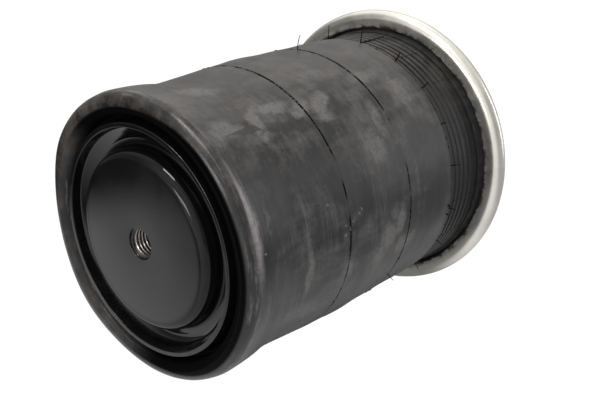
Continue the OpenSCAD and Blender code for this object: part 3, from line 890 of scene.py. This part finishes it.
def upper_bead():
    us = stations((0.8,), 0.0, u_neck)
    m, nn = on_line(us)
    outer = m + nn * HT
    inner = m + nn * (HT - 1.6)
    loop = [tuple(p) for p in outer[::-1]]
    # round the wire and back along the inner face
    ang = np.radians(np.arange(-130, 131, 13))
    loop += [(CR + 3.7 * math.cos(t), CS + 3.7 * math.sin(t)) for t in ang]
    loop += [tuple(p) for p in inner]
    return turned("upper_bead_rubber", loop, 256, [M_BEAD], sharp=60)


ub = upper_bead()
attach(ub, PLATE)
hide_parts("upper_bead_rubber")

# ---------------------------------------------------------------- vent hairs and flash

theta_grid = np.linspace(0, 2 * np.pi, N_COVER, endpoint=False)


def surface_r(s, deg):
    """Outer radius of the sleeve at a station and an angle."""
    sel = MU <= MARK["arc0"]
    order = np.argsort(MID[sel, 1])
    mid = np.interp(s, MID[sel, 1][order], MID[sel, 0][order])
    u = np.interp(s, MID[sel, 1][order], MU[sel][order])
    dr, _ = wall_shift(np.array([u]), theta_grid)
    return mid + HT + float(np.interp(deg % 360, np.degrees(theta_grid), dr[0], period=360))


def tube(path, radii, sides=7):
    """Closed tapering tube along points in metres; returns vertices and faces."""
    co, faces = [], []
    pts = [Vector(p) for p in path]
    for i, p in enumerate(pts):
        d = (pts[min(i + 1, len(pts) - 1)] - pts[max(i - 1, 0)]).normalized()
        a = d.orthogonal().normalized()
        b = d.cross(a)
        for k in range(sides):
            t = 2 * math.pi * k / sides
            co.append(p + (a * math.cos(t) + b * math.sin(t)) * radii[i])
    for i in range(len(pts) - 1):
        for k in range(sides):
            l = (k + 1) % sides
            faces.append((i * sides + k, i * sides + l, (i + 1) * sides + l, (i + 1) * sides + k))
    faces.append(tuple(reversed(range(sides))))
    faces.append(tuple(range((len(pts) - 1) * sides, len(pts) * sides)))
    return co, faces


def join(parts):
    co, faces = [], []
    for c, f in parts:
        k = len(co)
        co += list(c)
        faces += [tuple(i + k for i in q) for q in f]
    return co, faces


def hair(s, deg, length, lean_s=0.0, lean_t=0.0, r0=0.36):
    base_r = surface_r(s, deg) - 1.0
    path, radii = [], []
    for i in range(7):
        t = i / 6
        path.append(at(s + lean_s * t ** 1.6 * length, base_r + (length + 1.0) * t, deg + math.degrees(lean_t * t ** 1.7 * length / base_r)))
        radii.append((r0 * (1 - 0.45 * t)) / 1000)
    return tube(path, radii)


hairs = [hair(206.8, 79, 10.5, 0.05, 0.16, 0.46), hair(206.8, 97, 10.0, 0.06, -0.05, 0.50), hair(206.4, 116.8, 6.2, 0.30, -0.10, 0.60),
         hair(206.4, 133.7, 6.4, 0.32, 0.0, 0.58), hair(206.6, 151, 3.2, 0.5, 0.1, 0.5), hair(206.2, 169.2, 4.8, 0.95, 0.05, 0.52),
         hair(206.5, 188.6, 4.2, 0.8, 0.2, 0.52), hair(204.6, 187.0, 1.6, 0, 0, 0.9), hair(204.8, 191.3, 1.5, 0, 0, 0.8),
         hair(206.4, 206, 4.6, 0.7, 0.45, 0.42), hair(206.8, 224, 5.5, 0.2, 0.35),
         hair(LINE_2 + 1, 87, 10.5, 0.0, 0.25, 0.40), hair(LINE_2 + 1, 214, 5.5, 0.2, 0.2)]
for i in range(9, 20):
    d = 79 + 18 * i + rng.uniform(-1, 1)
    hairs.append(hair(206.8, d, rng.uniform(2.0, 7.5), rng.uniform(-.1, .25), rng.uniform(-.2, .2)))
for d in (12, 300, 341):
    hairs.append(hair(LINE_2 + 1, d, rng.uniform(3, 7), rng.uniform(-.1, .2), rng.uniform(-.2, .2)))
for d in (35, 122, 256):
    hairs.append(hair(LINE_1 + 0.8, d, rng.uniform(0.8, 1.6), 0, 0))


def fin(s0, s1, deg0, deg1, heights, width):
    """A thin raised strip of flash lying on the cover along the axis."""
    n = len(heights)
    co, faces = [], []
    for i in range(n):
        t = i / (n - 1)
        s, dg = s0 + (s1 - s0) * t, deg0 + (deg1 - deg0) * t
        r = surface_r(s, dg)
        w = math.degrees(width / 2 / r)
        lift = -0.62 if s > SHOULDER + 1 else -0.15
        for dd, h in ((-w, lift - 0.5), (w, lift - 0.5), (w * 0.5, lift + heights[i]), (-w * 0.5, lift + heights[i])):
            co.append(at(s, r + h, dg + dd))
    for i in range(n - 1):
        a, b = 4 * i, 4 * i + 4
        for k in range(4):
            l = (k + 1) % 4
            faces.append((a + k, a + l, b + l, b + k))
    faces.append((3, 2, 1, 0))
    e = 4 * (n - 1)
    faces.append((e, e + 1, e + 2, e + 3))
    return co, faces


strips = []
for i in range(20):
    d = 79 + 18 * i
    if d % 360 == 97:
        hairs.append(fin(206.8, 246, 97, 96.0, [0.2, 0.9, 1.2, 1.0, 0.8, 0.7, 0.6, 0.6, 0.5, 0.5, 0.4, 0.4], 0.6))
    else:
        strips.append(fin(208.6, 238 + rng.uniform(0, 7), d, d + rng.uniform(-0.3, 0.3),
                          [0.50 + rng.uniform(-.08, .08) for _ in range(12)], 0.26))
# torn bits along the parting lines and the shoulder
for st, count in ((LINE_1, 120), (LINE_2, 110), (SHOULDER - 0.3, 70)):
    for _ in range(count):
        d = rng.uniform(0, 360)
        if rng.random() > 0.35 + 0.65 * float(np.clip(line_strength(np.array([math.radians(d)]), 0)[0], 0, 1)):
            continue
        l = rng.uniform(0.8, 3.2)
        if (st == LINE_2 and 138 < d < 176) or (st == LINE_1 and 146 < d < 175):
            continue
        r = surface_r(st, d)
        a = [at(st + rng.uniform(-.25, .25), r + 0.15, d + k * math.degrees(l / r) / 3) for k in range(4)]
        q = rng.uniform(0.22, 0.46) / 1000
        hairs.append(tube(a, [q * 0.6, q, q, q * 0.5], 6))
co, faces = join(hairs)
vents = build_mesh("vent_hairs", co, faces, [M_FLASH], None, 50)
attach(vents, PLATE)
co, faces = join(strips)
strip_ob = build_mesh("neck_flash_lines", co, faces, [M_FIN], None, 50)
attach(strip_ob, PLATE)

# ---------------------------------------------------------------- bead plate

RO, RI = 6.7, 4.0


def plate_profile():
    out = [(0.0, 258.3), (0.0, 261.0), (92.0, 261.0), (CR, 261.0)]
    rm = [0, 0, 0, 0]
    for a in range(84, -91, -6):
        out.append((CR + RO * math.cos(math.radians(a)), CS + RO * math.sin(math.radians(a))))
        rm.append(0)
    lip = rounded([(CR - 1.0, CS - RO), (CR - 6.8, CS - RO), (CR - 6.8, CS - RI - 0.4), (CR - 6.0, CS - RI), (CR - 1.0, CS - RI)],
                  [0, 1.2, 0.7, 0.5, 0], 20)
    out += [tuple(p) for p in lip]
    for a in range(-90, 91, 10):
        out.append((CR + RI * math.cos(math.radians(a)), CS + RI * math.sin(math.radians(a))))
    out.append((96.0, 258.3))
    return out


def plate_wobble(r, s, t):
    """The rolled rim is slightly uneven at its inner edge."""
    w = smooth((103.5 - r) / 2.0) * (s < 251)
    return w * (0.30 * waves(t, 0 * r, 61, 9, 14, 0.0) + 0.10 * waves(t, 0 * r, 62, 12, 60, 0.0))


plate = turned("bead_plate_disc", plate_profile(), 384, [M_ZINC], sharp=40, dr=plate_wobble)


def cut_holes(ob, holes):
    """Cuts round holes along X through a mesh; holes are (y, z, r) in mm."""
    for y, z, r in holes:
        n = 48
        co = []
        for x in (255.0, 270.0):
            for k in range(n):
                a = 2 * math.pi * k / n
                co.append((x / 1000, (y + r * math.cos(a)) / 1000, (z + r * math.sin(a)) / 1000))
        faces = [(k, (k + 1) % n, n + (k + 1) % n, n + k) for k in range(n)]
        faces.append(tuple(reversed(range(n))))
        faces.append(tuple(range(n, 2 * n)))
        me = bpy.data.meshes.new("cutter")
        me.from_pydata(co, [], faces)
        me.update()
        c = bpy.data.objects.new("cutter", me)
        bpy.context.scene.collection.objects.link(c)
        mod = ob.modifiers.new("cut", "BOOLEAN")
        mod.operation = "DIFFERENCE"
        mod.solver = "EXACT"
        mod.object = c
        bpy.context.view_layer.update()
        dg = bpy.context.evaluated_depsgraph_get()
        new = bpy.data.meshes.new_from_object(ob.evaluated_get(dg))
        ob.modifiers.clear()
        old = ob.data
        ob.data = new
        bpy.data.meshes.remove(old)
        bpy.data.objects.remove(c)
        bpy.data.meshes.remove(me)
    ob.data.set_sharp_from_angle(angle=math.radians(40))


cut_holes(plate, [(80, 0, 7), (-80, 0, 7), (0, -55, 12)])
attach(plate, PLATE)
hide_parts("bead_plate")


# ---------------------------------------------------------------- threads

def tooth(phase, pitch):
    """Height below the crest of a metric thread at a phase from 0 to 1."""
    return 0.6 * pitch * np.clip((np.abs(2 * phase - 1) - 0.12) / 0.66, 0, 1)


def threaded_rod(name, centre, s_base, r_base, rows, mats, r_major, pitch, s0, s1, n=64, core=None, sharp=50):
    """Rod along X, off the axis by centre: rows before the thread, then the thread from s0 to s1."""
    theta = np.linspace(0, 2 * np.pi, n, endpoint=False)
    R, S = [], []
    for r, s in rows:
        R.append(np.full(n, r))
        S.append(np.full(n, s))
    count = int((s1 - s0) / pitch * 12)
    for i in range(count + 1):
        s = s0 + (s1 - s0) * i / count
        ph = (s / pitch - theta / (2 * np.pi)) % 1.0
        cut = tooth(ph, pitch) * smooth((s - s0) / pitch)
        r = np.minimum(r_major - cut, r_major - 0.9 * pitch + (s1 - s) * 1.0 + 0.1)
        R.append(r)
        S.append(np.full(n, s))
    tail = core or []
    for r, s in tail:
        R.append(np.full(n, r))
        S.append(np.full(n, s))
    R, S = np.array(R), np.array(S)
    axis = tuple(i for i in range(len(R)) if R[i].max() < 1e-6)
    ob = grid_solid(name, R, S, theta, axis, mats, None, sharp)
    ob.data.transform(Matrix.Translation((0, centre[0] / 1000, centre[1] / 1000)))
    return ob


for k, y in enumerate((80, -80)):
    rows = [(0, 255.3), (9.6, 255.3), (11.4, 256.2), (11.4, 258.3), (7.0, 258.3), (7.0, 260.9), (6.0, 261.0)]
    st = threaded_rod(f"plate_stud_{k + 1}", (y, 0), 0, 0, rows, [M_STUD], 6.0, 1.75, 262.0, 291.0, 64,
                      [(3.4, 291.0), (0, 290.6)])
    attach(st, PLATE)
    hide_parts("mounting_studs")

rows = [(3.5, 254.3), (15.2, 254.3), (16.0, 255.1), (16.0, 258.3), (12.0, 258.3), (12.0, 261.0), (11.0, 261.1)]
n_p = 1.5
inner = [(6.9, 286.0), (6.1, 285.2)]
fit = threaded_rod("air_fitting_stud", (0, -55), 0, 0, rows, [M_STUD], 11.0, 1.5, 262.0, 286.0, 80,
                   inner + [(5.25 + 0.35 * ((i % 2) == 0), 285.0 - i * 0.75) for i in range(20)] + [(5.25, 270.0), (3.5, 270.0)])
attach(fit, PLATE)
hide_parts("air_fitting")


# ---------------------------------------------------------------- piston

def rim_wobble(r, s, t):
    w = np.exp(-((s - 0.2) / 0.9) ** 2)
    return w * 0.10 * waves(t, 0 * r, 71, 14, 60, 0.0)


skirt_top = 60 - 16 / 28 * 2.4
skirt_pts = [(73.0, 0.9), (73.0, 0.0), (76.0, 0.0), (76.0, 0.9), (76.0, 60.0), (76.0, 118.0), (skirt_top, 148.4),
             (57.0, 148.4), (57.0, 144.8), (73.0, 116.0), (73.0, 60.0)]
skirt_rad = [0, 0.9, 0.9, 0, 0, 6.0, 0.8, 0, 0, 5.0, 0]
skirt_prof = rounded(skirt_pts, skirt_rad, 15)
skirt = turned("piston_skirt_tube", skirt_prof, 320, [M_GLOSS], sharp=40, ds=lambda r, s, t: -rim_wobble(r, s, t) * 0.6)
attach(skirt, PISTON)
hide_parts("piston_skirt")

PS, VS, PR = -1.8, 12.0, 59.2
cone = [(64.4 + 0.832 * k, 11.6 - 0.5547 * k) for k in np.arange(1.4, 7.5, 0.5)]
dish = [(64.4, 11.6)] + cone + [(72.2, 6.4), (72.9, 1.0)]
base_pts = [(10.35, PS), (PR, PS), (PR + 0.4, VS)] + dish + [(73.5, 1.0),
            (73.5, VS + 3), (PR - 2.6, VS + 3), (PR - 3.1, PS + 3), (10.55, PS + 3), (10.55, PS + 0.9)]
base_rad = [0.4, 6.6, 2.6, 2.5] + [0] * len(cone) + [1.8, 0] + [0, 0.4, 2.0, 1.6, 0, 0]
base_prof = rounded(base_pts, base_rad, 6)
rm = []
for i, p in enumerate(base_prof):
    q = base_prof[(i + 1) % len(base_prof)]
    rm.append(0)


def base_swell(r, s, t):
    """A faint pressing mark on the plateau."""
    face = 0.05 * waves(t, r, 81, 8, 3, 0.08) * smooth((PR - 6 - r) / 8) * smooth((r - 13) / 6) * (s < PS + 1)
    # the valley is a cone on one side and rounder on the other
    away = np.abs((np.degrees(t) - 40 + 180) % 360 - 180)
    bowl = 1 + 11 * np.sqrt(1 - np.clip((r - 65.4) / 7.5, 0, 1) ** 2)
    front = (r > 62) * (r < 72.95) * (s > 0.95) * (s < 12.05)
    side = (bowl - s) * front * smooth((away - 52) / 26)
    return face + side + 0.30 * waves(t, 0 * r, 83, 8, 9, 0.0) * smooth((r - 64) / 5) * smooth((s - 2.5) / 3) * (s < 11.9)


base = turned("piston_base_pressing", base_prof, 320, [M_GLOSS, M_THREAD], rm, sharp=40, ds=base_swell)
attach(base, PISTON)
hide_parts("piston_base")


def threaded_hole(name):
    """Bush with a female thread; its first turns run through the base."""
    n = 96
    pitch = 2.5
    theta = np.linspace(0, 2 * np.pi, n, endpoint=False)
    R, S = [], []

    def row(r, s):
        R.append(np.full(n, float(r)) if np.isscalar(r) else r)
        S.append(np.full(n, float(s)))

    s0, s1 = PS + 3.05, PS + 31.0
    for r, s in ((20.0, s0), (20.0, PS + 35.2), (19.2, PS + 36.0), (0.0, PS + 36.0), (0.0, s1 + 1.6), (8.6, s1)):
        row(r, s)
    count = int((s1 - s0) / pitch * 14)
    for i in range(count + 1):
        s = s1 - (s1 - s0) * i / count
        ph = (s / pitch - theta / (2 * np.pi)) % 1.0
        row(8.7 + 1.32 * (1 - np.clip((np.abs(2 * ph - 1) - 0.12) / 0.66, 0, 1)) * smooth((s1 - s) / 3.0), s)
    R, S = np.array(R), np.array(S)
    axis = tuple(i for i in range(len(R)) if R[i].max() < 1e-6)
    return grid_solid(name, R, S, theta, axis, [M_THREAD], None, 50)


bush = threaded_hole("threaded_bush_m20")
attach(bush, PISTON)
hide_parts("threaded_bush")


def mouth_thread():
    """The thread's first turns, inside the base's hole."""
    n = 96
    pitch = 2.5
    theta = np.linspace(0, 2 * np.pi, n, endpoint=False)
    R, S = [], []
    s0, s1 = PS + 0.9, PS + 3.05
    for r, s in ((10.9, s0), (10.9, s1)):
        R.append(np.full(n, r))
        S.append(np.full(n, s))
    count = 16
    for i in range(count + 1):
        s = s1 - (s1 - s0) * i / count
        ph = (s / pitch - theta / (2 * np.pi)) % 1.0
        R.append(np.minimum(8.7 + 1.32 * (1 - np.clip((np.abs(2 * ph - 1) - 0.12) / 0.66, 0, 1)) + 1.7 * smooth((s0 + 2.1 - s) / 2.1), 10.4))
        S.append(np.full(n, s))
    mat = [0, 0] + [1 if i >= 4 else 0 for i in range(count + 1)]
    return grid_solid("base_thread_turns", np.array(R), np.array(S), theta, (), [M_THREAD, M_GLOSS], mat, 50)


turns = mouth_thread()
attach(turns, PISTON)
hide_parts("piston_base")

# ---------------------------------------------------------------- inner CAD nodes keep their meshes

for node, m in (("piston_crown", M_GLOSS), ("centre_tube", M_CLOSE), ("stiffening_ribs", M_CLOSE),
                ("clamp_nut", M_BARE), ("end_closure", M_CLOSE), ("lower_bead_wire", M_WIRE),
                ("sealing_ring", M_SEAL), ("bump_stop_plate", M_CLOSE), ("bump_stop", M_BUMP),
                ("bolt_washer", M_BARE), ("clamp_bolt", M_BARE), ("upper_bead_wire", M_WIRE)):
    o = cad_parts[node]
    for sl in o.material_slots:
        sl.material = m

# ---------------------------------------------------------------- floor, light, camera


def floor_mesh():
    """Pale floor: it carries the roll and the crimped rim, so it drops a little towards the plate."""
    x_l, z_l, x_r, z_r = 0.0078, -0.0945, 0.2561, -0.1146
    slope = (z_r - z_l) / (x_r - x_l)
    xs = [-3.0, -1.2, -0.4, x_l, 0.5, 1.5, 3.2]
    ys = [-3.0, -1.0, -0.3, 0.3, 1.0, 3.0]
    co = [(x, y, z_l if x < x_l else z_l + slope * (x - x_l)) for x in xs for y in ys]
    k = len(ys)
    faces = [(i * k + j, (i + 1) * k + j, (i + 1) * k + j + 1, i * k + j + 1) for i in range(len(xs) - 1) for j in range(k - 1)]
    me = bpy.data.meshes.new("floor")
    me.from_pydata(co, [], faces)
    me.update()
    ob = bpy.data.objects.new("floor", me)
    bpy.context.scene.collection.objects.link(ob)
    m = bpy.data.materials.new("floor_white")
    m.use_nodes = True
    t = m.node_tree
    t.nodes.clear()

    def node(kind, **kw):
        q = t.nodes.new(kind)
        for a, v in kw.items():
            setattr(q, a, v)
        return q

    out = node("ShaderNodeOutputMaterial")
    seen = node("ShaderNodeEmission")
    seen.inputs[0].default_value = (1, 1, 1, 1)
    seen.inputs[1].default_value = 1.05
    lit = node("ShaderNodeEmission")
    lit.inputs[0].default_value = (1.0, 1.0, 1.0, 1)
    mix = node("ShaderNodeMixShader")
    path = node("ShaderNodeLightPath")
    tc = node("ShaderNodeTexCoord")
    # the white sweep ends at two edges to the left of the part
    total = None
    for (nx, ny), c, soft in (((-0.28, 0.96), 0.322, 0.095), ((-0.93, -0.37), 0.092, 0.095)):
        dot = node("ShaderNodeVectorMath", operation="DOT_PRODUCT")
        dot.inputs[1].default_value = (nx, ny, 0)
        t.links.new(tc.outputs["Object"], dot.inputs[0])
        r = node("ShaderNodeMapRange", interpolation_type="SMOOTHSTEP")
        r.inputs["From Min"].default_value = c + soft
        r.inputs["From Max"].default_value = c - soft
        t.links.new(dot.outputs["Value"], r.inputs["Value"])
        if total is None:
            total = r.outputs[0]
        else:
            q = node("ShaderNodeMath", operation="MULTIPLY")
            t.links.new(total, q.inputs[0])
            t.links.new(r.outputs[0], q.inputs[1])
            total = q.outputs[0]
    sep = node("ShaderNodeSeparateXYZ")
    t.links.new(tc.outputs["Object"], sep.inputs[0])

    def ramp(sock, a, b, lo_v, hi_v):
        r = node("ShaderNodeMapRange", interpolation_type="SMOOTHSTEP")
        t.links.new(sock, r.inputs["Value"])
        for nm, v in (("From Min", a), ("From Max", b), ("To Min", lo_v), ("To Max", hi_v)):
            r.inputs[nm].default_value = v
        return r.outputs[0]

    def times(u, v):
        q = node("ShaderNodeMath", operation="MULTIPLY")
        t.links.new(u, q.inputs[0])
        t.links.new(v, q.inputs[1])
        return q.outputs[0]

    near = node("ShaderNodeMath", operation="MAXIMUM")
    t.links.new(total, near.inputs[0])
    t.links.new(ramp(sep.outputs[1], 0.04, -0.03, 0.0, 1.0), near.inputs[1])
    far_x = node("ShaderNodeMath", operation="MAXIMUM")
    t.links.new(near.outputs[0], far_x.inputs[0])
    out_y = node("ShaderNodeVectorMath", operation="DOT_PRODUCT")
    out_y.inputs[1].default_value = (0.4, 1.0, 0)
    t.links.new(tc.outputs["Object"], out_y.inputs[0])
    t.links.new(times(ramp(sep.outputs[0], -0.42, -0.62, 0.0, 1.15), ramp(out_y.outputs["Value"], 0.12, -0.03, 0.0, 1.0)), far_x.inputs[1])
    total = far_x.outputs[0]
    # painted shadow: the floor's glow, which lights the part from below, is dimmed in a strip under the part
    far = node("ShaderNodeMath", operation="ABSOLUTE")
    t.links.new(sep.outputs[1], far.inputs[0])
    painted_shadow_under_part = times(ramp(far.outputs[0], 0.125, 0.030, 0.0, 1.0), ramp(sep.outputs[0], -0.05, 0.07, 0.0, 1.0))
    painted_shadow_under_part = times(painted_shadow_under_part, ramp(sep.outputs[0], 0.40, 0.27, 0.0, 1.0))
    total = times(total, ramp(painted_shadow_under_part, 0.0, 1.0, 1.0, 0.22))
    # painted shade: the floor's glow is also dimmed towards the right front, in place of the rim's shadow there
    painted_shade_right_front = node("ShaderNodeVectorMath", operation="DOT_PRODUCT")
    painted_shade_right_front.inputs[1].default_value = (0.76, -0.65, 0)
    t.links.new(tc.outputs["Object"], painted_shade_right_front.inputs[0])
    total = times(total, ramp(painted_shade_right_front.outputs["Value"], 0.20, 0.42, 1.0, 0.50))
    lo = node("ShaderNodeMapRange", clamp=False)
    lo.inputs["To Min"].default_value = 0.02
    lo.inputs["To Max"].default_value = FLOOR_GLOW
    t.links.new(total, lo.inputs["Value"])
    t.links.new(lo.outputs[0], lit.inputs[1])
    t.links.new(path.outputs["Is Camera Ray"], mix.inputs[0])
    t.links.new(lit.outputs[0], mix.inputs[1])
    t.links.new(seen.outputs[0], mix.inputs[2])
    t.links.new(mix.outputs[0], out.inputs[0])
    me.materials.append(m)
    return ob


FLOOR_GLOW = 0.95
floor = floor_mesh()


def softbox(name, direction, distance, size, size_y, radiance, color=(1, 1, 1), aim=(0.05, 0, 0)):
    """Area light of a given brightness, seen from the part in a direction."""
    d = bpy.data.lights.new(name, "AREA")
    d.shape = "RECTANGLE"
    d.size, d.size_y = size, size_y
    d.energy = radiance * math.pi * size * size_y
    d.color = color
    o = bpy.data.objects.new(name, d)
    bpy.context.scene.collection.objects.link(o)
    v = Vector(direction).normalized()
    o.location = Vector(aim) + v * distance
    o.rotation_euler = (-v).to_track_quat("-Z", "Y").to_euler()
    return o


softbox("key_back", (0.40, 0.44, 0.80), 1.35, 1.50, 1.30, 0.5, (1.0, 0.985, 0.96))
softbox("key_top", (-0.30, 0.00, 0.95), 1.35, 0.42, 0.25, 19.0)
softbox("side_left", (-0.97, 0.02, 0.26), 1.6, 0.60, 0.36, 9.0, (1.0, 0.985, 0.95))
softbox("back_right", (0.72, -0.60, 0.22), 1.5, 0.36, 0.90, 2.6)

world = bpy.data.worlds.new("studio")
bpy.context.scene.world = world
world.use_nodes = True
wt = world.node_tree
wt.nodes.clear()


def world_node(kind, **kw):
    q = wt.nodes.new(kind)
    for a, v in kw.items():
        setattr(q, a, v)
    return q


w_out = world_node("ShaderNodeOutputWorld")
w_mix = world_node("ShaderNodeMixShader")
w_cam = world_node("ShaderNodeBackground")
w_env = world_node("ShaderNodeBackground")
w_path = world_node("ShaderNodeLightPath")
w_cam.inputs[0].default_value = (1, 1, 1, 1)
w_cam.inputs[1].default_value = 1.05
w_tc = world_node("ShaderNodeTexCoord")
w_sum = None
for d, a0, a1, amount in (((0.12, 0.10, 0.985), 0.25, 0.97, 0.74), ((-0.95, -0.15, 0.27), 0.62, 0.86, 0.70),
                      ((-0.10, -0.95, 0.30), -0.20, 1.0, 0.27), ((0.9, 0.3, 0.1), 0.1, 1.0, 0.30)):
    dot = world_node("ShaderNodeVectorMath", operation="DOT_PRODUCT")
    dot.inputs[1].default_value = d
    wt.links.new(w_tc.outputs["Generated"], dot.inputs[0])
    r = world_node("ShaderNodeMapRange", interpolation_type="SMOOTHSTEP")
    r.inputs["From Min"].default_value = a0
    r.inputs["From Max"].default_value = a1
    r.inputs["To Max"].default_value = amount
    wt.links.new(dot.outputs["Value"], r.inputs["Value"])
    if w_sum is None:
        q = world_node("ShaderNodeMath", operation="ADD")
        q.inputs[1].default_value = 0.18
        wt.links.new(r.outputs[0], q.inputs[0])
        w_sum = q.outputs[0]
    else:
        q = world_node("ShaderNodeMath", operation="ADD")
        wt.links.new(w_sum, q.inputs[0])
        wt.links.new(r.outputs[0], q.inputs[1])
        w_sum = q.outputs[0]
w_env.inputs[0].default_value = (1.0, 0.99, 0.97, 1)
wt.links.new(w_sum, w_env.inputs[1])
wt.links.new(w_path.outputs["Is Camera Ray"], w_mix.inputs[0])
wt.links.new(w_env.outputs[0], w_mix.inputs[1])
wt.links.new(w_cam.outputs[0], w_mix.inputs[2])
wt.links.new(w_mix.outputs[0], w_out.inputs[0])

bpy.context.scene.view_settings.view_transform = "Standard"
bpy.context.scene.view_settings.exposure = 0.0

cam = bpy.data.cameras.new("camera")
cam.sensor_width = 36.0
cam.lens = 48.0
cam.clip_start = 0.01
cam.clip_end = 20.0
cam_ob = bpy.data.objects.new("camera", cam)
bpy.context.scene.collection.objects.link(cam_ob)
right, up, back = (0.6488, -0.7610, 0.0), (0.2769, 0.2361, 0.9314), (-0.7088, -0.6043, 0.3639)
m = Matrix(((right[0], up[0], back[0]), (right[1], up[1], back[1]), (right[2], up[2], back[2]))).to_4x4()
m.translation = (-0.2806 + STATION / 1000, -0.3677, 0.2052)
cam_ob.matrix_world = m
bpy.context.scene.camera = cam_ob
